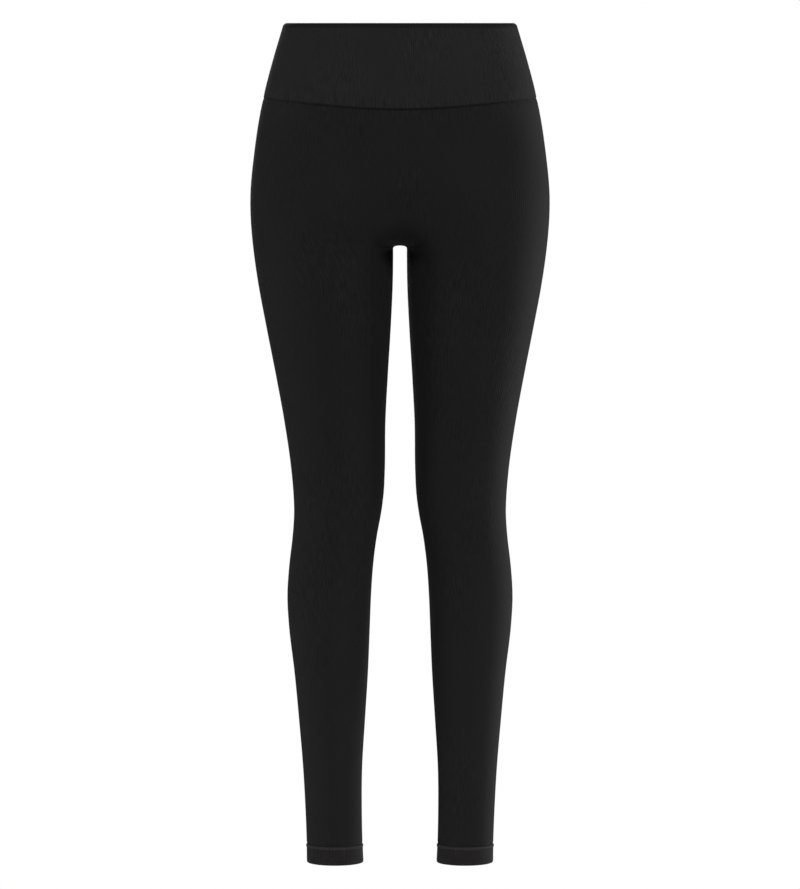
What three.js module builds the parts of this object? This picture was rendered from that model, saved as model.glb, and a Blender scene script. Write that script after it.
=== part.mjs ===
// High-waisted knit leggings, filled out and hollow, as they stand when they are worn.
// Millimetres, +Z up, the front towards -Y. The origin is the middle of the waist.
// Heights are given as a drop, measured down from the waistband's top edge.
import * as THREE from "three";

// Driving dimensions
const TOP_EDGE = 45; // height of the waistband's top edge above the origin
const LENGTH = 979; // top edge to hem
const CROTCH = 258; // drop of the crotch
const SEAM_GAP = 0.3; // space left between joined pieces

const KNIT_WALL = 1.2; // single knit of the body and legs
const CUFF_HEIGHT = 21;

const BAND_AT_SIDE = 86; // drop of the waistband's lower edge at the side
const BAND_DIP_FRONT = 12.5; // how much lower that edge is at centre front
const BAND_DIP_BACK = 8;

const FORK_SLOT = { corner: 3, flatness: 2.5 }; // square top of the space between the legs
const FORK_SOFTNESS = 8; // how widely the knit rounds over from one leg to the other at the crotch
const SOFTNESS_ENDS = 80; // this far below the crotch each leg is a plain oval

const SQUARENESS = { waist: 2.3, leg: 2.0, fadesBy: 340 }; // exponent of the ovals, 2 is an ellipse

// Away from the centre line the knit bridges the fold between body and leg: the surface there is
// evened out over this height, fully between the two shares of the half section.
const BRIDGE = { height: 36, from: 0.02, full: 0.2, above: 120, below: 90 };
const BRIDGE_WEIGHTS = [1, 2, 3, 2, 1];

// Outline of the filled-out garment: half-width to the side, half of the space between
// the legs, and depth to the front and back of the plane through the waist.
const SECTIONS = [
  { drop: 0, side: 133.9, inner: 0, front: 91, back: 88 },
  { drop: 50, side: 148.6, inner: 0, front: 95, back: 93 },
  { drop: 100, side: 161.3, inner: 0, front: 99, back: 105 },
  { drop: 150, side: 169.2, inner: 0, front: 100, back: 115 },
  { drop: 205, side: 174.1, inner: 0, front: 98, back: 119 },
  { drop: 240, side: 172.9, inner: 8, front: 93, back: 112 },
  { drop: 268, side: 169.8, inner: 8, front: 89, back: 101 },
  { drop: 300, side: 165.0, inner: 8.4, front: 86, back: 90 },
  { drop: 351, side: 155.4, inner: 10.7, front: 82, back: 77 },
  { drop: 407, side: 144.4, inner: 14.1, front: 77, back: 68 },
  { drop: 463, side: 134.2, inner: 17.0, front: 70, back: 60 },
  { drop: 519, side: 126.3, inner: 17.7, front: 63, back: 53 },
  { drop: 547, side: 123.9, inner: 19.1, front: 59, back: 51 },
  { drop: 568, side: 123.2, inner: 21.8, front: 55, back: 52 },
  { drop: 596, side: 125.0, inner: 27.0, front: 51, back: 57 },
  { drop: 631, side: 129.1, inner: 31.4, front: 47, back: 63 },
  { drop: 668, side: 131.4, inner: 33.9, front: 44, back: 67 },
  { drop: 701, side: 129.7, inner: 35.2, front: 41, back: 66 },
  { drop: 757, side: 123.1, inner: 37.5, front: 37, back: 60 },
  { drop: 813, side: 117.8, inner: 41.0, front: 34, back: 52 },
  { drop: 869, side: 113.1, inner: 44.3, front: 32, back: 46 },
  { drop: 925, side: 110.1, inner: 44.6, front: 31, back: 44 },
  { drop: 979, side: 108.3, inner: 43.3, front: 31, back: 44 },
];

// How the two legs grow into one body above the crotch. An edge is where each half's own
// oval would end past the centre line, and soft is how widely the two halves blend there.
const FORK = [
  { rise: 0, frontEdge: 8, frontSoft: 8, backEdge: 8, backSoft: 8 },
  { rise: 2, frontEdge: 1, frontSoft: 8.5, backEdge: 1, backSoft: 9 },
  { rise: 8, frontEdge: -10, frontSoft: 10, backEdge: -7, backSoft: 11 },
  { rise: 18, frontEdge: -26, frontSoft: 13, backEdge: -15, backSoft: 15 },
  { rise: 38, frontEdge: -60, frontSoft: 18, backEdge: -30, backSoft: 22 },
  { rise: 65, frontEdge: -105, frontSoft: 22, backEdge: -56, backSoft: 30 },
  { rise: 95, frontEdge: -150, frontSoft: 18, backEdge: -98, backSoft: 32 },
  { rise: 130, frontEdge: -190, frontSoft: 6, backEdge: -155, backSoft: 18 },
  { rise: 160, frontEdge: -190, frontSoft: 0, backEdge: -190, backSoft: 0 },
  { rise: 260, frontEdge: -190, frontSoft: 0, backEdge: -190, backSoft: 0 },
];

// Mesh steps. Columns run from centre front, or the inside of the leg, round the side to the back.
const COLUMNS = 32;
const ROWS_ABOVE_CROTCH = 10;
const ROWS_AT_THIGH = 8;
const ROWS_BELOW = 21;
const THIGH_ROWS_END = 352; // drop from which the rows are level and evenly spaced
const SIDE_OF_CROTCH_ROW = 264; // drop, at the side, of the row that passes through the crotch

// Waistband wall: how far its faces lie outside the body's surface, its rounded lower edge,
// the heights of its rows as shares of the band, and the thick roll along the top edge
const BAND = { proud: 0.7, inside: -1.7, edgeRound: 1.2, edgeOut: 0.1 };
const BAND_RISES = [0.18, 0.42, 0.68];
const ROLL = { radius: 3.8, lipRadius: 1.5, steps: 4, taperDrop: 11 };

// Ankle cuff wall, down the outside from the seam and back up the inside. The ridge is on top.
const CUFF_OUTSIDE = [
  { out: 0.1, down: 0 },
  { out: 0.8, down: 0.9 },
  { out: 0.9, down: 2.1 },
  { out: 0.3, down: 3.6 },
  { out: 0.35, down: 11 },
  { out: 0.5, down: 19.2 },
  { out: 0.2, down: 20.5 },
  { out: -0.5, down: 21 },
];
const CUFF_INSIDE = [
  { out: -1.2, down: 20.5 },
  { out: -1.5, down: 19.2 },
  { out: -1.5, down: 11 },
  { out: -1.5, down: 0 },
];

// A table's column at any height, on a smooth curve through its rows
function along(table, key, column, at) {
  const last = table.length - 1;
  const place = Math.min(Math.max(at, table[0][key]), table[last][key]);
  let i = 0;
  while (i < last - 1 && place > table[i + 1][key]) i += 1;
  const slopeBetween = (a, b) => (table[b][column] - table[a][column]) / (table[b][key] - table[a][key]);
  const slopeAt = (j) => {
    if (j === 0) return slopeBetween(0, 1);
    if (j === last) return slopeBetween(last - 1, last);
    const before = table[j][key] - table[j - 1][key];
    const after = table[j + 1][key] - table[j][key];
    return (slopeBetween(j - 1, j) * after + slopeBetween(j, j + 1) * before) / (before + after);
  };
  const step = table[i + 1][key] - table[i][key];
  const t = (place - table[i][key]) / step;
  const stay = (1 + 2 * t) * (1 - t) ** 2;
  return (
    stay * table[i][column] +
    (1 - stay) * table[i + 1][column] +
    step * t * (1 - t) * ((1 - t) * slopeAt(i) - t * slopeAt(i + 1))
  );
}

// Half of the space between the legs, with its square top just below the crotch
function innerHalfWidth(drop) {
  const open = along(SECTIONS, "drop", "inner", drop);
  const t = THREE.MathUtils.clamp((drop - CROTCH) / FORK_SLOT.corner, 0, 1);
  return open * (1 - (1 - t) ** FORK_SLOT.flatness) ** (1 / FORK_SLOT.flatness);
}

// A quarter of one half's section, from the centre line or the inside of the leg to the side
class QuarterSection extends THREE.Curve {
  constructor(drop, isFront) {
    super();
    const depthOf = (column) => along(SECTIONS, "drop", column, drop);
    this.middle = (depthOf("back") - depthOf("front")) / 2;
    this.depth = ((depthOf("back") + depthOf("front")) / 2) * (isFront ? -1 : 1);
    const side = depthOf("side");
    const rise = CROTCH - drop;
    const face = isFront ? "front" : "back";
    let edge;
    if (rise > 0) {
      this.soft = along(FORK, "rise", face + "Soft", rise);
      edge = Math.max(along(FORK, "rise", face + "Edge", rise), -side);
    } else {
      this.soft = FORK_SOFTNESS * (1 - THREE.MathUtils.smoothstep(-rise, 0, SOFTNESS_ENDS));
      edge = Math.hypot(innerHalfWidth(drop), this.soft);
    }
    const outer = Math.hypot(side, this.soft);
    this.centre = (outer + edge) / 2;
    this.reach = (outer - edge) / 2;
    const faded = THREE.MathUtils.smoothstep(drop, 0, SQUARENESS.fadesBy);
    this.exponent = THREE.MathUtils.lerp(SQUARENESS.waist, SQUARENESS.leg, faded);
    const cut = THREE.MathUtils.clamp((this.soft - this.centre) / this.reach, -1, 1);
    const start = Math.sign(cut) * Math.asin(Math.abs(cut) ** (this.exponent / 2));
    this.start = rise > 0 ? start : -Math.PI / 2;
  }

  getPoint(t, target = new THREE.Vector2()) {
    const angle = THREE.MathUtils.lerp(this.start, Math.PI / 2, t);
    const power = 2 / this.exponent;
    const across = Math.sign(angle) * Math.abs(Math.sin(angle)) ** power;
    const forward = Math.max(Math.cos(angle), 0) ** power;
    const blended = this.centre + this.reach * across;
    const x = Math.sqrt(Math.max(blended * blended - this.soft * this.soft, 0));
    return target.set(x, this.middle + this.depth * forward);
  }
}

// The outer surface of the half on the +X side: share runs from 0 at the front to 1 at the back
function surfacePoint(share, drop) {
  const isFront = share <= 0.5;
  const fromEdge = Math.min(share, 1 - share);
  const fromSide = new QuarterSection(drop, isFront).getLength() * (1 - 2 * fromEdge);
  const across = THREE.MathUtils.smoothstep(fromEdge, BRIDGE.from, BRIDGE.full);
  const above = THREE.MathUtils.smoothstep(drop, CROTCH - BRIDGE.above, CROTCH);
  const below = 1 - THREE.MathUtils.smoothstep(drop, CROTCH, CROTCH + BRIDGE.below);
  const spread = BRIDGE.height * across * above * below;
  const flat = new THREE.Vector2();
  let total = 0;
  BRIDGE_WEIGHTS.forEach((weight, i) => {
    const shift = (2 * i) / (BRIDGE_WEIGHTS.length - 1) - 1;
    const quarter = new QuarterSection(drop + shift * spread, isFront);
    const place = Math.max(1 - fromSide / quarter.getLength(), 0);
    flat.addScaledVector(quarter.getPointAt(place), weight);
    total += weight;
  });
  flat.divideScalar(total);
  return new THREE.Vector3(Math.max(flat.x, SEAM_GAP / 2), flat.y, TOP_EDGE - drop);
}

// The drop of the waistband's lower edge
function bandEdgeDrop(share) {
  const dip = share <= 0.5 ? BAND_DIP_FRONT : BAND_DIP_BACK;
  return BAND_AT_SIDE + dip * Math.cos(Math.PI * share) ** 2;
}

// The drop of a leg's row at a column. Rows crowd together towards the crotch.
function legRowDrop(row, share) {
  const towardsSide = Math.sin(Math.PI * share) ** 2;
  const crotchRow = ROWS_ABOVE_CROTCH;
  const levelRow = crotchRow + ROWS_AT_THIGH;
  if (row <= crotchRow) {
    const t = (crotchRow - row) / crotchRow;
    const top = bandEdgeDrop(share);
    const atCentre = CROTCH + (top - CROTCH) * t ** 2;
    const atSide = SIDE_OF_CROTCH_ROW + (top - SIDE_OF_CROTCH_ROW) * t;
    return THREE.MathUtils.lerp(atCentre, atSide, towardsSide);
  }
  if (row <= levelRow) {
    const t = (row - crotchRow) / ROWS_AT_THIGH;
    const atCentre = CROTCH + (THIGH_ROWS_END - CROTCH) * t ** 3;
    const atSide = SIDE_OF_CROTCH_ROW + (THIGH_ROWS_END - SIDE_OF_CROTCH_ROW) * t;
    return THREE.MathUtils.lerp(atCentre, atSide, towardsSide);
  }
  const cuffSeam = LENGTH - CUFF_HEIGHT - SEAM_GAP;
  return THREE.MathUtils.lerp(THIGH_ROWS_END, cuffSeam, (row - levelRow) / ROWS_BELOW);
}

// Two triangles for a four-sided face, cut along its shorter diagonal
function pushQuad(index, points, a, b, c, d) {
  if (points[a].distanceTo(points[c]) <= points[b].distanceTo(points[d])) index.push(a, b, c, a, c, d);
  else index.push(a, b, d, b, c, d);
}

function geometryFrom(points, index) {
  const geometry = new THREE.BufferGeometry().setFromPoints(points);
  geometry.setIndex(index);
  geometry.computeVertexNormals();
  return geometry;
}

// The same geometry on the other side of the centre plane
function mirrored(geometry) {
  const twin = geometry.clone().scale(-1, 1, 1);
  const index = twin.getIndex();
  for (let i = 0; i < index.count; i += 3) {
    const second = index.getX(i + 1);
    index.setX(i + 1, index.getX(i + 2));
    index.setX(i + 2, second);
  }
  twin.computeVertexNormals();
  return twin;
}

// One half of the body with its leg: a wall open at the waist, the ankle and the centre line
function legGeometry() {
  const rows = ROWS_ABOVE_CROTCH + ROWS_AT_THIGH + ROWS_BELOW;
  const outer = [];
  const at = [];
  for (let row = 0; row <= rows; row += 1) {
    at.push([]);
    const isTube = row >= ROWS_ABOVE_CROTCH;
    for (let column = 0; column <= COLUMNS; column += 1) {
      if (isTube && column === COLUMNS) {
        at[row].push(at[row][0]);
      } else {
        const share = column / COLUMNS;
        at[row].push(outer.length);
        outer.push(surfacePoint(share, legRowDrop(row, share)));
      }
    }
  }

  const skin = [];
  for (let row = 0; row < rows; row += 1) {
    for (let column = 0; column < COLUMNS; column += 1) {
      const [a, b] = [at[row][column], at[row + 1][column]];
      const [c, d] = [at[row + 1][column + 1], at[row][column + 1]];
      pushQuad(skin, outer, a, b, c, d);
    }
  }

  // The inside is the outside moved in by the wall. Cut edges stay level or on the centre plane.
  const normals = geometryFrom(outer, skin).getAttribute("normal");
  const inner = outer.map((point, i) => {
    const normal = new THREE.Vector3().fromBufferAttribute(normals, i);
    if (point.x < SEAM_GAP) normal.x = 0;
    if (at[0].includes(i) || at[rows].includes(i)) normal.z = 0;
    return point.clone().addScaledVector(normal.normalize(), -KNIT_WALL);
  });

  const points = [...outer, ...inner];
  const inside = outer.length;
  const index = [...skin];
  for (let i = 0; i < skin.length; i += 3) {
    index.push(skin[i] + inside, skin[i + 2] + inside, skin[i + 1] + inside);
  }
  for (let column = 0; column < COLUMNS; column += 1) {
    const [a, b] = [at[0][column], at[0][column + 1]];
    pushQuad(index, points, a, b, b + inside, a + inside);
    const [c, d] = [at[rows][column], at[rows][column + 1]];
    pushQuad(index, points, d, c, c + inside, d + inside);
  }
  for (let row = 0; row < ROWS_ABOVE_CROTCH; row += 1) {
    const [a, b] = [at[row][0], at[row + 1][0]];
    pushQuad(index, points, b, a, a + inside, b + inside);
    const [c, d] = [at[row][COLUMNS], at[row + 1][COLUMNS]];
    pushQuad(index, points, c, d, d + inside, c + inside);
  }
  return geometryFrom(points, index);
}

// A closed band: each loop runs right round the opening, and the loops run round the wall
function ringGeometry(loops) {
  const round = loops[0].length;
  const points = loops.flat();
  const index = [];
  loops.forEach((loop, i) => {
    const next = (i + 1) % loops.length;
    for (let j = 0; j < round; j += 1) {
      const k = (j + 1) % round;
      pushQuad(index, points, i * round + j, next * round + j, next * round + k, i * round + k);
    }
  });
  return geometryFrom(points, index);
}

// A point that lies outside the surface, or inside it, by a level distance
function pointOutside(share, drop, distance) {
  const step = 0.5 / COLUMNS;
  const isTube = drop > CROTCH;
  const kept = (at) => (isTube ? (at + 1) % 1 : THREE.MathUtils.clamp(at, 0, 1));
  const before = surfacePoint(kept(share - step), drop);
  const after = surfacePoint(kept(share + step), drop);
  const out = new THREE.Vector3(after.y - before.y, before.x - after.x, 0).normalize();
  return surfacePoint(share, drop).addScaledVector(out, distance);
}

// Waistband: a double layer with a soft rolled top edge, a little proud of the body
function waistbandGeometry() {
  // Each place on the wall gives its height in one of three ways: up from the lower edge,
  // a share of the band's height, or down from the top edge.
  const wall = [
    { out: BAND.edgeOut, up: 0 },
    { out: BAND.proud, up: BAND.edgeRound },
    ...BAND_RISES.map((rise) => ({ out: BAND.proud, share: rise })),
  ];
  const rollCentre = BAND.proud - ROLL.radius;
  for (let i = 0; i <= ROLL.steps; i += 1) {
    const angle = (i / ROLL.steps) * (Math.PI / 2);
    wall.push({
      out: rollCentre + ROLL.radius * Math.cos(angle),
      down: ROLL.radius * (1 - Math.sin(angle)),
    });
  }
  wall.push({ out: rollCentre - ROLL.lipRadius * Math.SQRT1_2, down: ROLL.lipRadius * (1 - Math.SQRT1_2) });
  wall.push({ out: rollCentre - ROLL.lipRadius, down: ROLL.lipRadius });
  wall.push({ out: BAND.inside, down: ROLL.taperDrop });
  for (const rise of [...BAND_RISES].reverse()) wall.push({ out: BAND.inside, share: rise });
  wall.push({ out: BAND.inside, up: 0 });

  const dropOf = (place, share) => {
    const edge = bandEdgeDrop(share) - SEAM_GAP;
    if (place.down !== undefined) return place.down;
    if (place.up !== undefined) return edge - place.up;
    return edge * (1 - place.share);
  };
  const loops = wall.map((place) => {
    const half = [];
    for (let column = 0; column <= COLUMNS; column += 1) {
      const share = column / COLUMNS;
      const point = pointOutside(share, dropOf(place, share), place.out);
      if (column === 0 || column === COLUMNS) point.x = 0;
      half.push(point);
    }
    const other = half.slice(1, -1).reverse();
    return [...half, ...other.map((point) => new THREE.Vector3(-point.x, point.y, point.z))];
  });
  return ringGeometry(loops.reverse());
}

// Ankle cuff: a turned welt with a raised ridge where it starts
function cuffGeometry() {
  const seam = LENGTH - CUFF_HEIGHT;
  const loops = [...CUFF_OUTSIDE, ...CUFF_INSIDE].map((place) => {
    const loop = [];
    for (let column = 0; column < COLUMNS; column += 1) {
      loop.push(pointOutside(column / COLUMNS, seam + place.down, place.out));
    }
    return loop;
  });
  return ringGeometry(loops);
}

const KNIT = { color: 0x1b1a1b, roughness: 0.85, metalness: 0 };

function named(name, geometry) {
  const mesh = new THREE.Mesh(geometry, new THREE.MeshStandardMaterial({ ...KNIT, name }));
  mesh.name = name;
  return mesh;
}

const leg = legGeometry();
const cuff = cuffGeometry();
const leggings = new THREE.Group();
leggings.add(named("waistband", waistbandGeometry()));
leggings.add(named("left_leg", leg), named("right_leg", mirrored(leg)));
leggings.add(named("left_cuff", cuff), named("right_cuff", mirrored(cuff)));

export default leggings;
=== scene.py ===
"""Black rib-knit leggings with a high double waistband, filled out and hollow.

Metres, +Z up, the front towards -Y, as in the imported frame. The tables are in millimetres,
and heights in them are drops, measured down from the waistband's top edge.
"""

import math
from types import SimpleNamespace

import bmesh
import bpy
import numpy as np
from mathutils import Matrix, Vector


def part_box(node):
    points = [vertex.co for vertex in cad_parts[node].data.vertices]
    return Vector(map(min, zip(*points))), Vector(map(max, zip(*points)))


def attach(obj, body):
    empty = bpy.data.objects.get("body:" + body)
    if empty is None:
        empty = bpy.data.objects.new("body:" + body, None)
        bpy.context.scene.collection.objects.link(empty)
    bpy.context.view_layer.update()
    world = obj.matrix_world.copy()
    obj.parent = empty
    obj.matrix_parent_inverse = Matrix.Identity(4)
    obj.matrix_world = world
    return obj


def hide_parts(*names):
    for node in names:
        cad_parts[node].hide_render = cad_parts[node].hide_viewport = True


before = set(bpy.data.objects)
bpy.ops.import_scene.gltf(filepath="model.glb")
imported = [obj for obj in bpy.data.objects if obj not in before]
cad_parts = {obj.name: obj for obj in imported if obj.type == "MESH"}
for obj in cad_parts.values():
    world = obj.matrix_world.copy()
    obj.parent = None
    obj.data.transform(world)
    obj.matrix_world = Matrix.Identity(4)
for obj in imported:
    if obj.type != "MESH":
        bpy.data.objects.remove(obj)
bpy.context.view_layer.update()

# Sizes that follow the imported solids
MM = 0.001
TOP_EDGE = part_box("waistband")[1].z
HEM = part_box("left_cuff")[0].z
CUFF_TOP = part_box("left_cuff")[1].z
LENGTH = (TOP_EDGE - HEM) / MM
CUFF_SEAM = (TOP_EDGE - CUFF_TOP) / MM

# Where the body forks and where the waistband ends
CROTCH = 258
BAND_AT_SIDE = 86
BAND_DIP_FRONT = 12.5
BAND_DIP_BACK = 8
FORK_CORNER = 3
FORK_FLATNESS = 2.5
FORK_SOFTNESS = 8
SOFTNESS_ENDS = 80
EDGE_ROUNDING = 12
SQUARENESS = {"waist": 2.3, "leg": 2.0, "fades_by": 340}
BRIDGE = {"height": 40, "from": 2, "full": 44, "above": 120, "below": 90}
BRIDGE_SAMPLES = 13
LEVELLING = 60  # height over which the sections' lengths are levelled out, in whole millimetres
LENGTH_DROPS = np.arange(-LEVELLING, LENGTH + LEVELLING + 1)  # where they are worked out
CROWDED = 0.14  # share of a half in which the columns crowd together to make up for it
ARC_STEPS = 80  # steps in which the length of a quarter section is measured
WIDEST_CUT = 0.999999  # keeps the cut at the centre line inside its oval
TINY = 1e-9  # keeps a division from being by nothing

# Knit: ribs run the whole length, so they crowd together where the garment is narrow
WALES = 160  # ribs round one half of the body, and so round one leg
PER_WALE = 2  # mesh columns to a rib
COURSE = 1.6  # height of one row of stitches
KNIT_WALL = 1.2
RIB_RAISED = 0.09  # how far a rib stands out of the surface, and its furrow goes in
TUCK = 2.8  # how far a leg's knit runs on under the waistband or into the cuff
TUCK_DEPTH = 0.5
TUCK_AT_BAND = (0.5, 5)  # below the waistband's edge, over which the leg's knit comes out
TUCK_AT_CUFF = (-4, -0.5)  # below the cuff's seam, over which it goes in
RIBS_GROW = (0.6, 3)  # ribs from the centre line, over which they grow to their full height
CREASE_SWELLING = 0.8
NORMAL_STEP = 0.25  # share of a rib over which the surface's direction is taken
WELD_DISTANCE = 1e-7

# Half-width to the side, half of the space between the legs, depth to front and back
SECTION_COLUMNS = ("drop", "side", "inner", "front", "back")
SECTIONS = (
    (0, 133.9, 0, 91, 88),
    (50, 148.6, 0, 95, 93),
    (100, 161.3, 0, 99, 105),
    (150, 169.2, 0, 100, 115),
    (205, 174.1, 0, 98, 119),
    (240, 172.9, 8, 93, 112),
    (268, 169.8, 8, 89, 101),
    (300, 165.0, 8.4, 86, 90),
    (351, 155.4, 10.7, 82, 77),
    (407, 144.4, 14.1, 77, 68),
    (463, 134.2, 17.0, 70, 60),
    (519, 126.3, 17.7, 63, 53),
    (547, 123.9, 19.1, 59, 51),
    (568, 123.2, 21.8, 55, 52),
    (596, 125.0, 27.0, 51, 57),
    (631, 129.1, 31.4, 47, 63),
    (668, 131.4, 33.9, 44, 67),
    (701, 129.7, 35.2, 41, 66),
    (757, 123.1, 37.5, 37, 60),
    (813, 117.8, 41.0, 34, 52),
    (869, 113.1, 44.3, 32, 46),
    (925, 110.1, 44.6, 31, 44),
    (979, 108.3, 43.3, 31, 44),
)

# How the legs grow into one body: where each half's own oval would end, and the softness there
FORK_COLUMNS = ("rise", "front_edge", "front_soft", "back_edge", "back_soft")
FORK = (
    (0, 8, 8, 8, 8),
    (2, 1, 8.5, 1, 9),
    (8, -10, 10, -7, 11),
    (18, -26, 13, -15, 15),
    (38, -60, 18, -30, 22),
    (65, -105, 22, -56, 30),
    (95, -150, 18, -98, 32),
    (130, -190, 6, -155, 18),
    (160, -190, 0, -190, 0),
    (260, -190, 0, -190, 0),
)

# Soft creases, uneven. share runs round a half from centre front (0) over the side
# (0.5) to centre back (1), reach is how far along it the crease goes, and slant is its fall.
CREASE_COLUMNS = ("share", "drop", "reach", "width", "slant", "depth")
LEFT_CREASES = (
    (0.86, 272, 0.11, 9, -70, 0.9),
    (0.83, 291, 0.08, 8, -40, 0.5),
    (0.74, 541, 0.16, 8, 18, 0.9),
    (0.79, 557, 0.12, 7, -12, 0.7),
    (0.72, 574, 0.10, 8, 30, 0.5),
    (0.12, 246, 0.07, 9, 150, 0.5),
    (0.22, 916, 0.16, 7, 14, 0.4),
    (0.70, 905, 0.15, 8, -16, 0.6),
    (0.78, 931, 0.17, 7, 12, 0.5),
)
RIGHT_CREASES = (
    (0.85, 276, 0.12, 10, -62, 0.8),
    (0.80, 298, 0.07, 8, -35, 0.4),
    (0.76, 538, 0.14, 8, -14, 0.8),
    (0.73, 552, 0.13, 8, 22, 0.8),
    (0.80, 569, 0.09, 7, -20, 0.5),
    (0.13, 243, 0.06, 9, 140, 0.5),
    (0.27, 921, 0.14, 8, -12, 0.4),
    (0.75, 899, 0.14, 8, 15, 0.5),
    (0.69, 925, 0.16, 7, -10, 0.6),
)


def column_of(table, names, name):
    return np.array([row[names.index(name)] for row in table], float)


def hermite(before, after, step, slope_before, slope_after, t):
    """A smooth curve from one value to the next."""
    stay = (1 + 2 * t) * (1 - t) ** 2
    bend = step * t * (1 - t) * ((1 - t) * slope_before - t * slope_after)
    return stay * before + (1 - stay) * after + bend


def along(table, names, name, at):
    """A table's column at any heights, on a smooth curve through its rows."""
    places = column_of(table, names, names[0])
    values = column_of(table, names, name)
    slopes = np.gradient(values, places)
    at = np.clip(at, places[0], places[-1])
    i = np.clip(np.searchsorted(places, at) - 1, 0, len(places) - 2)
    step = places[i + 1] - places[i]
    t = (at - places[i]) / step
    return hermite(values[i], values[i + 1], step, slopes[i], slopes[i + 1], t)


def smoothstep(value, low, high):
    t = np.clip((value - low) / (high - low), 0, 1)
    return t * t * (3 - 2 * t)


def blend(a, b, t):
    return a + (b - a) * t


# The form: the same outer surface as the solids, worked out for whole arrays of places


def inner_half_width(drop):
    """Half of the space between the legs, with its square top just below the crotch."""
    t = np.clip((drop - CROTCH) / FORK_CORNER, 0, 1)
    corner = (1 - (1 - t) ** FORK_FLATNESS) ** (1 / FORK_FLATNESS)
    return along(SECTIONS, SECTION_COLUMNS, "inner", drop) * corner


def quarter(drop, face):
    """Quarter sections of one half, from the centre line or the inside of the leg to the side."""
    front = along(SECTIONS, SECTION_COLUMNS, "front", drop)
    back = along(SECTIONS, SECTION_COLUMNS, "back", drop)
    side = along(SECTIONS, SECTION_COLUMNS, "side", drop)
    rise = CROTCH - drop
    above = rise > 0
    soft_below = FORK_SOFTNESS * (1 - smoothstep(-rise, 0, SOFTNESS_ENDS))
    soft_above = np.maximum(along(FORK, FORK_COLUMNS, face + "_soft", rise), 0)
    soft = np.where(above, soft_above, soft_below)
    inwards = along(FORK, FORK_COLUMNS, face + "_edge", rise) + side
    rounded = np.clip(inwards + EDGE_ROUNDING, 0, None) ** 2 / (4 * EDGE_ROUNDING)
    open_edge = np.where(inwards < EDGE_ROUNDING, rounded, inwards) - side
    edge = np.where(above, open_edge, np.hypot(inner_half_width(drop), soft))
    outer = np.hypot(side, soft)
    shape = SimpleNamespace(soft=soft, middle=(back - front) / 2)
    shape.depth = (back + front) / 2 * (-1 if face == "front" else 1)
    shape.centre = (outer + edge) / 2
    shape.reach = (outer - edge) / 2
    faded = smoothstep(drop, 0, SQUARENESS["fades_by"])
    shape.exponent = blend(SQUARENESS["waist"], SQUARENESS["leg"], faded)
    cut = np.clip((soft - shape.centre) / shape.reach, -WIDEST_CUT, WIDEST_CUT)
    tangent = cut / (1 - np.abs(cut) ** shape.exponent) ** (1 / shape.exponent)
    shape.start = np.where(above, np.arctan(tangent), -math.pi / 2)
    return shape


def on_quarter(shape, angle):
    """Level coordinates at some angles of the quarter sections."""
    across, forward = np.sin(angle), np.maximum(np.cos(angle), 0)
    size = (np.abs(across) ** shape.exponent + forward**shape.exponent) ** (-1 / shape.exponent)
    x = np.sqrt(np.maximum((shape.centre + shape.reach * across * size) ** 2 - shape.soft**2, 0))
    return x, shape.middle + shape.depth * forward * size


def measured(shape):
    """Angles along each quarter section, and the length of the curve up to each of them.

    They lie close together where it starts, as the curve runs fastest there.
    """
    steps = np.linspace(0, 1, ARC_STEPS + 1) ** 2
    angles = shape.start[:, None] + (math.pi / 2 - shape.start)[:, None] * steps
    wide = SimpleNamespace(**{key: value[:, None] for key, value in vars(shape).items()})
    x, y = on_quarter(wide, angles)
    lengths = np.cumsum(np.hypot(np.diff(x), np.diff(y)), axis=1)
    return angles, np.concatenate([np.zeros((len(x), 1)), lengths], axis=1)


def at_length(shape, angles, lengths, wanted):
    """The points that lie a wanted length along their quarter sections."""
    wanted = np.clip(wanted, 0, lengths[:, -1])
    i = np.clip((lengths < wanted[:, None]).sum(axis=1), 1, ARC_STEPS)
    row = np.arange(len(i))
    steps = np.maximum(np.diff(lengths), TINY)
    rates = np.diff(angles) / steps
    inner = rates[:, :-1] * steps[:, 1:] + rates[:, 1:] * steps[:, :-1]
    inner /= steps[:, :-1] + steps[:, 1:]
    first = 2 * rates[:, :1] - inner[:, :1]
    last = 2 * rates[:, -1:] - inner[:, -1:]
    slopes = np.concatenate([first, inner, last], axis=1)
    step = steps[row, i - 1]
    t = (wanted - lengths[row, i - 1]) / step
    pair = angles[row, i - 1], angles[row, i]
    angle = hermite(*pair, step, slopes[row, i - 1], slopes[row, i], t)
    return on_quarter(shape, np.clip(angle, *pair))


def even_lengths(face):
    """Lengths of the quarter sections at each millimetre of drop, with their jump smoothed away."""
    lengths = measured(quarter(LENGTH_DROPS, face))[1][:, -1]
    weights = (1 - np.linspace(-1, 1, 2 * LEVELLING + 1) ** 2) ** 2
    return np.convolve(np.pad(lengths, LEVELLING, "edge"), weights / weights.sum(), "valid")


EVEN_LENGTHS = {face: even_lengths(face) for face in ("front", "back")}


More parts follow.
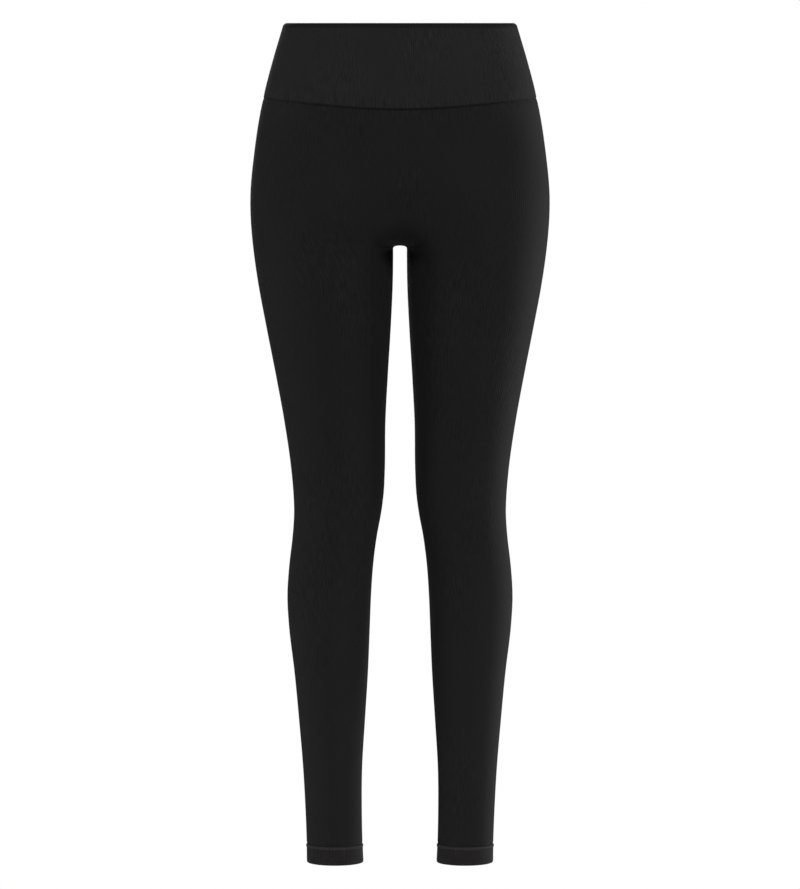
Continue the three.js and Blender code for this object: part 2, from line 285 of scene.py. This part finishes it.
def surface(share, drop):
    """The outer surface of the half on the +X side, in millimetres from the top edge.

    Round the crotch each place is a mean of places above and below it, at the same distance from
    the side line. That bridges the front and the seat smoothly over to the legs.
    """
    shape_of_result = np.broadcast(share, drop).shape
    shares, drops = (np.broadcast_to(value, shape_of_result).ravel() for value in (share, drop))
    points = np.zeros((len(shares), 3))
    points[:, 2] = -drops
    near_crotch = smoothstep(drops, CROTCH - BRIDGE["above"], CROTCH)
    near_crotch *= 1 - smoothstep(drops, CROTCH, CROTCH + BRIDGE["below"])
    shifts = np.linspace(-1, 1, BRIDGE_SAMPLES + 2)[1:-1]
    weights = (1 - shifts**2) ** 2
    for face, on_face in (("front", shares <= 0.5), ("back", shares > 0.5)):
        shape = quarter(drops[on_face], face)
        angles, lengths = measured(shape)
        from_edge = np.minimum(shares[on_face], 1 - shares[on_face])
        even = np.interp(drops[on_face], LENGTH_DROPS, EVEN_LENGTHS[face])
        near_edge = np.maximum(1 - from_edge / CROWDED, 0) ** 2
        from_side = even * (1 - 2 * from_edge) + (lengths[:, -1] - even) * near_edge
        plain = np.stack(at_length(shape, angles, lengths, lengths[:, -1] - from_side), axis=-1)
        spread = near_crotch[on_face] * smoothstep(plain[:, 0], BRIDGE["from"], BRIDGE["full"])
        bridged = spread > 0
        if bridged.any():
            plain[bridged] = 0
            for shift, weight in zip(shifts, weights / weights.sum()):
                moved = drops[on_face][bridged] + shift * BRIDGE["height"] * spread[bridged]
                shape = quarter(moved, face)
                angles, lengths = measured(shape)
                wanted = lengths[:, -1] - from_side[bridged]
                found = at_length(shape, angles, lengths, wanted)
                plain[bridged] += weight * np.stack(found, axis=-1)
        points[on_face, :2] = plain
    return points.reshape(*shape_of_result, 3)


def band_edge(share):
    """The drop of the waistband's lower edge."""
    dip = np.where(share <= 0.5, BAND_DIP_FRONT, BAND_DIP_BACK)
    return BAND_AT_SIDE + dip * np.cos(math.pi * share) ** 2


def rib_fade(share, drop):
    """Ribs flatten out at the centre line, where the two halves run together."""
    from_centre = np.minimum(share, 1 - share) * WALES
    return np.where(drop < CROTCH, smoothstep(from_centre, *RIBS_GROW), 1)


def unit(vectors):
    return vectors / np.maximum(np.linalg.norm(vectors, axis=-1, keepdims=True), TINY)


def crease_depth(table, share, drop):
    """How far the knit sinks at a crease, with a soft swelling on both sides of it."""
    total = np.zeros(share.shape)
    for row in table:
        crease = SimpleNamespace(**dict(zip(CREASE_COLUMNS, row)))
        beside = share - crease.share
        across = (drop - crease.drop - crease.slant * beside) / crease.width
        fade = np.exp(-((beside / crease.reach) ** 4))
        swelling = 1 - CREASE_SWELLING * across**2
        total += crease.depth * fade * swelling * np.exp(-(across**2))
    return total


# Meshes


def grid_piece(name, points, wales, courses, weld_columns_from, weld_rows=False):
    """A piece bent out of a flat grid: points[row, column] is in millimetres from the top edge.

    The first and the last column are joined from a given row down, and the first and last row too
    where the piece is a closed ring. The map "knit" counts ribs across and rows of stitches up.
    """
    rows, columns = points.shape[0] - 1, points.shape[1] - 1
    bm = bmesh.new()
    bmesh.ops.create_grid(bm, x_segments=columns, y_segments=rows, size=0.5)
    knit = bm.loops.layers.uv.new("knit")
    place = {}
    for vert in bm.verts:
        place[vert] = (round((0.5 - vert.co.y) * rows), round((vert.co.x + 0.5) * columns))
    for face in bm.faces:
        face.smooth = True
        for loop in face.loops:
            loop[knit].uv = (wales[place[loop.vert]], courses[place[loop.vert]])
    for vert in bm.verts:
        vert.co = Vector(points[place[vert]] * MM) + Vector((0, 0, TOP_EDGE))
    joined = []
    for vert, (row, column) in place.items():
        in_columns = column in (0, columns) and row >= weld_columns_from
        in_rows = weld_rows and row in (0, rows)
        if in_columns or in_rows:
            joined.append(vert)
    bmesh.ops.remove_doubles(bm, verts=joined, dist=WELD_DISTANCE)
    for edge in bm.edges:
        edge.smooth = not edge.is_boundary
    mesh = bpy.data.meshes.new(name)
    bm.to_mesh(mesh)
    bm.free()
    piece = bpy.data.objects.new(name, mesh)
    bpy.context.scene.collection.objects.link(piece)
    return piece


# Rows of a leg's mesh: close together at its hidden edges and towards the crotch
ROWS_UNDER_BAND = (-TUCK, -0.4, 0.9, 2.3, 4.0, 6.5)
ROWS_ABOVE_CROTCH = 19
ROWS_AT_THIGH = 16
ROWS_BELOW = 62
THIGH_ROWS_END = 352
SIDE_OF_CROTCH_ROW = 264
ROWS_AT_CUFF = (-6, -4, -2.4, -1.2, 0, 1.2, TUCK)


def leg_drops(share):
    """Drops of every row of a leg at each column."""
    towards_side = np.sin(math.pi * share) ** 2
    top = band_edge(share)
    start = top + ROWS_UNDER_BAND[-1]
    rows = [top + shift for shift in ROWS_UNDER_BAND]
    for i in range(1, ROWS_ABOVE_CROTCH + 1):
        t = 1 - i / ROWS_ABOVE_CROTCH
        at_centre = CROTCH + (start - CROTCH) * t**2
        at_side = SIDE_OF_CROTCH_ROW + (start - SIDE_OF_CROTCH_ROW) * t
        rows.append(blend(at_centre, at_side, towards_side))
    for i in range(1, ROWS_AT_THIGH + 1):
        t = i / ROWS_AT_THIGH
        at_centre = blend(CROTCH, THIGH_ROWS_END, t**3)
        at_side = blend(SIDE_OF_CROTCH_ROW, THIGH_ROWS_END, t)
        rows.append(blend(at_centre, at_side, towards_side))
    last = CUFF_SEAM + ROWS_AT_CUFF[0]
    for i in range(1, ROWS_BELOW + 1):
        rows.append(np.full_like(share, blend(THIGH_ROWS_END, last, i / ROWS_BELOW)))
    rows += [np.full_like(share, CUFF_SEAM + shift) for shift in ROWS_AT_CUFF[1:]]
    return np.array(rows)


def leg(name, node, is_left, creases):
    """One half of the body with its leg, in a single knit."""
    share = np.linspace(0, 1, WALES * PER_WALE + 1)
    drops = leg_drops(share)
    crotch_row = len(ROWS_UNDER_BAND) + ROWS_ABOVE_CROTCH - 1
    shares = np.broadcast_to(share, drops.shape)
    points = surface(shares, drops)

    across = np.gradient(points, axis=1)
    around = points[crotch_row:, 1] - points[crotch_row:, -2]
    across[crotch_row:, 0] = around
    across[crotch_row:, -1] = around
    out = np.cross(np.gradient(points, axis=0), across)
    out[:crotch_row, (0, -1), 0] = 0
    out = unit(out)

    ribs = RIB_RAISED * np.cos(2 * math.pi * shares * WALES) * rib_fade(shares, drops)
    under_band = 1 - smoothstep(drops - band_edge(share), *TUCK_AT_BAND)
    in_cuff = smoothstep(drops - CUFF_SEAM, *TUCK_AT_CUFF)
    raised = ribs - crease_depth(creases, shares, drops)
    raised -= TUCK_DEPTH * np.maximum(under_band, in_cuff)
    points += out * raised[..., None]
    points[:crotch_row, (0, -1), 0] = 0
    dip = (band_edge(shares) - BAND_AT_SIDE) * (1 - smoothstep(drops, BAND_AT_SIDE, CROTCH))
    wales, courses = shares * WALES, (dip - drops) / COURSE
    if not is_left:
        points = points[:, ::-1] * (-1, 1, 1)
        wales, courses = wales[:, ::-1], courses[:, ::-1]
    piece = grid_piece(name, points, wales, courses, weld_columns_from=crotch_row)
    wall = piece.modifiers.new("single knit", "SOLIDIFY")
    wall.thickness = KNIT_WALL * MM
    wall.offset = -1
    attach(piece, "root")
    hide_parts(node)
    return piece


def outwards(share, drop, closed):
    """Level directions out of the surface."""
    step = NORMAL_STEP / WALES
    before, after = share - step, share + step
    if closed:
        before, after = before % 1, after % 1
    else:
        before, after = np.maximum(before, 0), np.minimum(after, 1)
    run = surface(after, drop) - surface(before, drop)
    return unit(np.stack([run[..., 1], -run[..., 0], np.zeros(run.shape[:-1])], axis=-1))


# Waistband wall: how far out of the body's surface, and how far up from its lower edge or down
# from its top edge. BAND_REBATE gives pairs of both, for the recess that the legs' knit runs into.
BAND_PROUD = 0.7
BAND_INSIDE = -1.7
BAND_LIP = (0, 0.3, 0.8, 1.6, 3.0)
LIP_START = 0.25  # how far past the edge the lip's rounding begins
LIP_SPREAD = {"centre": 0.6, "side": 9}
BAND_REBATE = ((BAND_INSIDE, 4.0), (-1.6, 3.4), (-0.2, 3.2), (-0.05, 0.5))
BAND_ROWS = 26
BAND_INSIDE_ROWS = 12
ROLL_RADIUS = 3.8
ROLL_LIP_RADIUS = 1.5
ROLL_STEPS = 9
ROLL_LIP_STEPS = 4
ROLL_TAPER = 11
ROLL_TAPER_STEPS = 4
FIRST_ROW_UP = 5
LAST_ROW_DOWN = ROLL_RADIUS + 2.5


def band_profile():
    """Places round the waistband's wall, as pairs: out, and a function from edge drop to drop."""
    wall = [(BAND_PROUD, lambda edge, up=up: edge - up) for up in BAND_LIP]
    for i in range(BAND_ROWS):
        t = i / (BAND_ROWS - 1)
        wall.append((BAND_PROUD, lambda edge, t=t: blend(edge - FIRST_ROW_UP, LAST_ROW_DOWN, t)))
    middle = BAND_PROUD - ROLL_RADIUS
    for i in range(ROLL_STEPS + 1):
        angle = i / ROLL_STEPS * math.pi / 2
        down = ROLL_RADIUS * (1 - math.sin(angle))
        wall.append((middle + ROLL_RADIUS * math.cos(angle), lambda edge, down=down: down + 0 * edge))
    for i in range(1, ROLL_LIP_STEPS + 1):
        angle = i / ROLL_LIP_STEPS * math.pi / 2
        down = ROLL_LIP_RADIUS * (1 - math.cos(angle))
        out = middle - ROLL_LIP_RADIUS * math.sin(angle)
        wall.append((out, lambda edge, down=down: down + 0 * edge))
    for i in range(1, ROLL_TAPER_STEPS + 1):
        t = i / ROLL_TAPER_STEPS
        out = blend(middle - ROLL_LIP_RADIUS, BAND_INSIDE, smoothstep(t, 0, 1))
        down = blend(ROLL_LIP_RADIUS, ROLL_TAPER, t)
        wall.append((out, lambda edge, down=down: down + 0 * edge))
    for i in range(1, BAND_INSIDE_ROWS):
        t = i / BAND_INSIDE_ROWS
        wall.append((BAND_INSIDE, lambda edge, t=t: blend(ROLL_TAPER, edge - FIRST_ROW_UP, t)))
    wall += [(out, lambda edge, up=up: edge - up) for out, up in BAND_REBATE]
    return wall


def waistband():
    """The double layer waistband, with its rolled top edge and soft lower lip."""
    share = np.linspace(0, 1, WALES * PER_WALE + 1)
    edge = band_edge(share)
    wall = band_profile()
    drops = np.array([to_drop(edge) for _, to_drop in wall])
    outs = np.array([out for out, _ in wall])
    shares = np.broadcast_to(share, drops.shape)
    raised = outs[:, None] + RIB_RAISED * np.cos(2 * math.pi * shares * WALES)
    spread = blend(LIP_SPREAD["centre"], LIP_SPREAD["side"], np.sin(math.pi * shares) ** 2)
    lip = np.exp(-(LIP_START + edge - drops) / spread)
    raised -= np.where(outs[:, None] > 0, BAND_PROUD * lip, 0)
    half = surface(shares, drops) + outwards(shares, drops, closed=False) * raised[..., None]
    half[:, (0, -1), 0] = 0
    twin = half[:, -2::-1] * (-1, 1, 1)
    points = np.concatenate([half, twin], axis=1)
    points = np.concatenate([points, points[:1]])[::-1]
    steps = np.linalg.norm(np.diff(points[:, 0], axis=0), axis=1)
    heights = np.concatenate([[0], np.cumsum(steps)]) / COURSE
    wales = np.broadcast_to(np.linspace(0, 2 * WALES, points.shape[1]), points.shape[:2])
    courses = np.broadcast_to((heights[-1] - heights)[:, None], points.shape[:2])
    piece = grid_piece("waistband_knit", points, wales, courses, weld_columns_from=0, weld_rows=True)
    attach(piece, "root")
    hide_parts("waistband")
    return piece


# Cuff wall: CUFF_PROFILE gives how far out of the leg's surface, and how far below the seam
CUFF_WALES = 96
CUFF_PER_WALE = 4
CUFF_RIB_RAISED = 0.07
CUFF_RIBS_GROW = (1, 4)  # below the seam, over which the ribs grow to their full height
CUFF_INSIDE = -0.85  # what lies further in has no ribs
CUFF_PROFILE = (
    (0.05, -0.5), (0.5, -0.2), (0.8, 0.5), (0.95, 1.3), (0.82, 2.1), (0.45, 2.8), (0.28, 3.6),
    (0.26, 5.0), (0.28, 7.0), (0.32, 9.0), (0.36, 11.0), (0.42, 13.0), (0.46, 15.0), (0.5, 17.0),
    (0.52, 18.4), (0.48, 19.5), (0.3, 20.3), (-0.05, 20.8), (-0.5, 21.0), (-0.95, 20.8),
    (-1.3, 20.2), (-1.48, 19.2), (-1.5, 16.0), (-1.5, 12.0), (-1.5, 8.0), (-1.5, 4.0),
    (-1.42, 3.4), (-0.25, 3.2), (-0.1, 0.4),
)


def cuff(name, node, is_left):
    """A turned welt with a raised ridge where it starts."""
    share = np.linspace(0, 1, CUFF_WALES * CUFF_PER_WALE + 1)
    downs = np.array([down for _, down in CUFF_PROFILE])
    outs = np.array([out for out, _ in CUFF_PROFILE])
    shares, drops = np.meshgrid(share, CUFF_SEAM + downs)
    ribs = CUFF_RIB_RAISED * np.cos(2 * math.pi * shares * CUFF_WALES)
    ribs *= smoothstep(drops - CUFF_SEAM, *CUFF_RIBS_GROW) * (outs[:, None] > CUFF_INSIDE)
    points = surface(shares % 1, drops)
    points += outwards(shares % 1, drops, closed=True) * (outs[:, None] + ribs)[..., None]
    points = np.concatenate([points, points[:1]])
    points[:, -1] = points[:, 0]
    steps = np.linalg.norm(np.diff(points[:, 0], axis=0), axis=1)
    heights = np.concatenate([[0], np.cumsum(steps)]) / COURSE
    wales = np.broadcast_to(share * CUFF_WALES, points.shape[:2])
    courses = np.broadcast_to(-heights[:, None], points.shape[:2])
    if not is_left:
        points = points[:, ::-1] * (-1, 1, 1)
        wales, courses = wales[:, ::-1], courses[:, ::-1]
    piece = grid_piece(name, points, wales, courses, weld_columns_from=0, weld_rows=True)
    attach(piece, "root")
    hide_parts(node)
    return piece


# Knit looks. Noise scales are on metres, and those of the streaks on ribs and rows of stitches. A
# pair gives the values where a mask is 0 and where it is 1, or the places where it gets there.
FLUFF = {"scale": 900, "detail": 2}
CLOUDS = {"scale": 14, "detail": 3}
PATCHES = {"scale": 11, "detail": 2, "stretch": (1, 1, 0.5)}
STREAKS = {"scale": 1, "detail": 1, "stretch": (1.1, 0.12, 1)}
PATCH_EDGE = (0.42, 0.62)
GATHERED_ROWS = (16, 2)

# Heights are in millimetres, and the depth of a rib is a share of its full depth
RIB_OPENS = (0.3, 1.1)
STITCH_HEIGHT = 0.04
FLUFF_HEIGHT = 0.02
ROUGHNESS = (0.7, 0.8)

# Tones are factors on the colour, and shades are added to the whole tone
WHOLE_TONE = 1.04
RIB_MEAN = 0.64  # a rib's mean height, where the painted shade of its furrow turns to painted light on its crest
# Painted shade in the furrows between ribs, where the ribs lie closed and where they open
PAINTED_FURROW_SHADES = (-0.1, -0.48)
STREAK_SHADES = (0.1, 0.6)
CLOUD_TONES = (0.85, 1.15)
SIDES = (80 * MM, 145 * MM)
# Painted shadow along the waist seam, under the waistband's lip: its rows, and its tones in the
# middle and at the sides
SEAM_ROWS = (1.8, 0.2)
SEAM_SHADOW_TONES = (0.5, 0.85)
PALE_ROWS = (30, 2)
PALE_TONE = 1.22
# Painted light: the legs paler towards the ankles, where the high front light falls weaker
LOWER_LEG = (TOP_EDGE - 350 * MM, TOP_EDGE - 925 * MM)
LOWER_LEG_PAINTED_LIGHT = 1.3
# Painted highlight on a cuff's raised ridge, over its first rows of stitches
RIDGE_EDGE = 0.6
RIDGE_HIGHLIGHT_TONE = 1.9
# Painted shade on the waistband's rolled top edge: heights where it starts and where it is full
PAINTED_SHADE_ON_ROLL = (TOP_EDGE - 6.5 * MM, TOP_EDGE - 4.5 * MM)
PAINTED_SHADE_ON_ROLL_TONE = 0.6


def link(tree, value, socket):
    if isinstance(value, bpy.types.NodeSocket):
        tree.links.new(value, socket)
    else:
        socket.default_value = value


def calc(tree, operation, *values):
    """A Math node's result. Values are sockets or numbers."""
    node = tree.nodes.new("ShaderNodeMath")
    node.operation = operation
    for value, socket in zip(values, node.inputs):
        link(tree, value, socket)
    return node.outputs[0]


def noise(tree, place, scale, detail, stretch=(1, 1, 1)):
    """A Noise node's value, on places that may be squeezed along an axis."""
    mapping = tree.nodes.new("ShaderNodeMapping")
    mapping.inputs["Scale"].default_value = stretch
    tree.links.new(place, mapping.inputs["Vector"])
    node = tree.nodes.new("ShaderNodeTexNoise")
    node.inputs["Scale"].default_value = scale
    node.inputs["Detail"].default_value = detail
    tree.links.new(mapping.outputs["Vector"], node.inputs["Vector"])
    return node.outputs["Fac"]


def smooth_range(tree, value, low, high):
    """0 below the low value, 1 above the high one, and a soft change. They may be turned round."""
    node = tree.nodes.new("ShaderNodeMapRange")
    node.interpolation_type = "SMOOTHSTEP"
    node.inputs["From Min"].default_value = low
    node.inputs["From Max"].default_value = high
    tree.links.new(value, node.inputs["Value"])
    return node.outputs["Result"]


def between(tree, mask, low, high):
    """A value that is low where the mask is 0, and high where it is 1."""
    return calc(tree, "MULTIPLY_ADD", mask, calc(tree, "SUBTRACT", high, low), low)


def toned(tree, strength, mask, tone):
    """The strength, times a tone where the mask is 1."""
    return calc(tree, "MULTIPLY", strength, between(tree, mask, 1, tone))


def separate(tree, vector):
    """The three parts of a vector."""
    node = tree.nodes.new("ShaderNodeSeparateXYZ")
    tree.links.new(vector, node.inputs[0])
    return node.outputs


def dyed(tree, colour, strength):
    """A colour, darker or paler by its strength, which may be more than 1."""
    mix = tree.nodes.new("ShaderNodeMix")
    mix.data_type = "RGBA"
    mix.clamp_factor = False
    black, full = (socket for socket in mix.inputs if socket.type == "RGBA")
    black.default_value = (0, 0, 0, 1)
    full.default_value = (*colour, 1)
    tree.links.new(strength, mix.inputs["Factor"])
    return next(socket for socket in mix.outputs if socket.type == "RGBA")


def stitches(tree, wale, course):
    """A rib, 1 on its crest and 0 in the furrow beside it, and the V stitches on it."""
    rib = calc(tree, "ABSOLUTE", calc(tree, "COSINE", calc(tree, "MULTIPLY", wale, math.pi)))
    in_wale = calc(tree, "FRACT", calc(tree, "ADD", wale, 0.5))
    from_crest = calc(tree, "ABSOLUTE", calc(tree, "SUBTRACT", in_wale, 0.5))
    slanted = calc(tree, "ADD", course, from_crest)
    stitch = calc(tree, "ABSOLUTE", calc(tree, "SINE", calc(tree, "MULTIPLY", slanted, math.pi)))
    return rib, calc(tree, "MULTIPLY", stitch, rib)


def knit_material(name, colour, rib_depth, ridge_courses=None, seam_course=None, folded=False):
    """Matt black knit: rounded ribs, each a column of V stitches, with a little soft fluff.

    The depth is in millimetres. Painted shade darkens the furrows and painted light the crests. On a
    cuff the first rows of stitches, a raised ridge, get a painted highlight. At the waist seam the
    knit is gathered, with a painted shadow line under the waistband's lip. Below it the legs are
    paler at the sides, and painted light makes them paler towards the ankles. The rolled top edge
    gets painted shade, a darker strip.
    """
    material = bpy.data.materials.new(name)
    material.use_nodes = True
    tree = material.node_tree
    shader = tree.nodes["Principled BSDF"]
    shader.inputs["Specular IOR Level"].default_value = 0.1
    shader.inputs["Sheen Weight"].default_value = 0.03
    shader.inputs["Sheen Roughness"].default_value = 0.45

    knit = tree.nodes.new("ShaderNodeUVMap")
    knit.uv_map = "knit"
    wale, course, _ = separate(tree, knit.outputs["UV"])
    place = tree.nodes.new("ShaderNodeTexCoord").outputs["Object"]
    sideways, _, up = separate(tree, place)
    fluff = noise(tree, place, **FLUFF)
    rib, stitch = stitches(tree, wale, course)

    # The ribs open up in patches and near the waist seam, and lie closed elsewhere
    opened = smooth_range(tree, noise(tree, place, **PATCHES), *PATCH_EDGE)
    if seam_course is not None:
        from_seam = calc(tree, "ABSOLUTE", calc(tree, "SUBTRACT", course, seam_course))
        opened = calc(tree, "MAXIMUM", opened, smooth_range(tree, from_seam, *GATHERED_ROWS))
    depth = calc(tree, "MULTIPLY", between(tree, opened, *RIB_OPENS), rib_depth)
    height = calc(tree, "MULTIPLY", rib, depth)
    height = calc(tree, "MULTIPLY_ADD", stitch, STITCH_HEIGHT, height)
    height = calc(tree, "MULTIPLY_ADD", fluff, FLUFF_HEIGHT, height)
    bump = tree.nodes.new("ShaderNodeBump")
    bump.inputs["Distance"].default_value = MM
    tree.links.new(height, bump.inputs["Height"])
    tree.links.new(bump.outputs["Normal"], shader.inputs["Normal"])
    tree.links.new(between(tree, fluff, *ROUGHNESS), shader.inputs["Roughness"])

    # Painted shade in the furrows and painted light on the crests, streaks along the ribs and soft
    # clouds over all
    # Painted shade: furrows darker than the mean, crests lighter
    furrow = calc(tree, "SUBTRACT", RIB_MEAN, rib)
    painted_furrow_shade = calc(tree, "MULTIPLY", between(tree, opened, *PAINTED_FURROW_SHADES), furrow)
    streaks = noise(tree, knit.outputs["UV"], **STREAKS)
    streak_shade = between(tree, streaks, -1, 1)
    streak_shade = calc(tree, "MULTIPLY", streak_shade, between(tree, opened, *STREAK_SHADES))
    strength = calc(tree, "ADD", calc(tree, "ADD", painted_furrow_shade, streak_shade), WHOLE_TONE)
    clouds = noise(tree, place, **CLOUDS)
    strength = calc(tree, "MULTIPLY", strength, between(tree, clouds, *CLOUD_TONES))

    # What is darker or paler at its place on the garment: painted shadow at the seam, paler sides
    # below it, painted light on the lower legs, a painted highlight on a cuff's ridge and painted
    # shade on the rolled top edge
    if seam_course is not None:
        at_side = smooth_range(tree, calc(tree, "ABSOLUTE", sideways), *SIDES)
        # Painted shadow: a dark line along the seam under the waistband's lip, fainter at the sides
        seam_shadow = smooth_range(tree, from_seam, *SEAM_ROWS)
        strength = toned(tree, strength, seam_shadow, between(tree, at_side, *SEAM_SHADOW_TONES))
        if not folded:
            below_seam = calc(tree, "MULTIPLY", at_side, smooth_range(tree, from_seam, *PALE_ROWS))
            strength = toned(tree, strength, below_seam, PALE_TONE)
            # Painted light that makes the legs paler towards the ankles
            strength = toned(tree, strength, smooth_range(tree, up, *LOWER_LEG), LOWER_LEG_PAINTED_LIGHT)
    if ridge_courses:
        # Painted highlight on the raised ridge of a cuff
        ridge_highlight = smooth_range(tree, course, -ridge_courses - RIDGE_EDGE, -ridge_courses)
        strength = toned(tree, strength, ridge_highlight, RIDGE_HIGHLIGHT_TONE)
    if folded:
        # Painted shade on the rolled top edge
        strength = toned(tree, strength, smooth_range(tree, up, *PAINTED_SHADE_ON_ROLL), PAINTED_SHADE_ON_ROLL_TONE)
    tree.links.new(dyed(tree, colour, strength), shader.inputs["Base Color"])
    return material


def plain_material(name, colour, roughness):
    material = bpy.data.materials.new(name)
    material.use_nodes = True
    shader = material.node_tree.nodes["Principled BSDF"]
    shader.inputs["Base Color"].default_value = (*colour, 1)
    shader.inputs["Roughness"].default_value = roughness
    return material


# Camera, floor and lights

CAMERA_DISTANCE = 7.5
MM_PER_PIXEL = 1.1638
PICTURE_HEIGHT = 889
FLOOR_BELOW_HEM = 0.55
FLOOR_RADIUS = 3

# Soft boxes: where they stand, width and height in metres, and watts
LIGHTS = (
    ("front light", (0.5, -4.2, 3.2), (2.6, 1.8), 174),
    ("left front light", (-2.4, -1.7, -0.1), (1.2, 2.2), 6),
    ("right front light", (2.4, -1.7, -0.3), (1.2, 2.2), 11),
    ("right light", (2.6, -0.3, -0.5), (0.8, 2.4), 11),
    ("right strip", (2.1, 1.2, -0.45), (0.6, 2.4), 26),
    ("left light", (-2.5, -0.2, -0.4), (0.8, 2.4), 20),
    ("back light", (-0.4, 3.2, 0.6), (2.4, 2.0), 40),
)


def camera():
    """Level with the top edge, and turned down to the middle of the garment."""
    middle = Vector((0, 0, (TOP_EDGE + HEM) / 2))
    data = bpy.data.cameras.new("camera")
    eye = bpy.data.objects.new("camera", data)
    bpy.context.scene.collection.objects.link(eye)
    eye.location = (0, -CAMERA_DISTANCE, TOP_EDGE)
    towards = middle - eye.location
    eye.rotation_euler = towards.to_track_quat("-Z", "Y").to_euler()
    data.lens = data.sensor_width * towards.length / (PICTURE_HEIGHT * MM_PER_PIXEL * MM)
    data.clip_end = 100
    bpy.context.scene.camera = eye


def area_light(name, place, size, power):
    """A soft box that faces the middle of the garment."""
    data = bpy.data.lights.new(name, "AREA")
    data.shape = "RECTANGLE"
    data.size, data.size_y = size
    data.energy = power
    lamp = bpy.data.objects.new(name, data)
    bpy.context.scene.collection.objects.link(lamp)
    lamp.location = place
    towards = Vector((0, 0, (TOP_EDGE + HEM) / 2)) - lamp.location
    lamp.rotation_euler = towards.to_track_quat("-Z", "Y").to_euler()


def studio():
    """A pale floor before a white ground, and soft lights all round."""
    world = bpy.data.worlds.new("studio")
    world.use_nodes = True
    world.node_tree.nodes["Background"].inputs["Color"].default_value = (1, 1, 1, 1)
    world.cycles_visibility.diffuse = False
    world.cycles_visibility.glossy = False
    bpy.context.scene.world = world
    bm = bmesh.new()
    bmesh.ops.create_circle(bm, cap_ends=True, radius=FLOOR_RADIUS, segments=96)
    bmesh.ops.translate(bm, verts=bm.verts, vec=(0, 0, HEM - FLOOR_BELOW_HEM))
    mesh = bpy.data.meshes.new("floor")
    bm.to_mesh(mesh)
    bm.free()
    floor = bpy.data.objects.new("floor", mesh)
    floor.data.materials.append(plain_material("pale floor", (0.86, 0.86, 0.86), roughness=0.9))
    bpy.context.scene.collection.objects.link(floor)
    for name, place, size, power in LIGHTS:
        area_light(name, place, size, power)
    bpy.context.scene.view_settings.view_transform = "Standard"


camera()
studio()
leg_knit = knit_material(
    "leg knit", (0.0104, 0.0098, 0.0097), rib_depth=0.15, seam_course=-BAND_AT_SIDE / COURSE
)
band_knit = knit_material(
    "waistband knit", (0.0153, 0.0149, 0.0150), rib_depth=0.16, seam_course=0, folded=True
)
cuff_knit = knit_material("cuff knit", (0.0162, 0.0148, 0.0150), rib_depth=0.16, ridge_courses=2)

left_leg = leg("left_leg_knit", "left_leg", True, LEFT_CREASES)
right_leg = leg("right_leg_knit", "right_leg", False, RIGHT_CREASES)
band = waistband()
left_cuff = cuff("left_cuff_knit", "left_cuff", True)
right_cuff = cuff("right_cuff_knit", "right_cuff", False)

for piece, slot_name, material in (
    (left_leg, "leg_knit", leg_knit),
    (right_leg, "leg_knit", leg_knit),
    (band, "waistband_knit", band_knit),
    (left_cuff, "cuff_knit", cuff_knit),
    (right_cuff, "cuff_knit", cuff_knit),
):
    piece.data.materials.append(material)
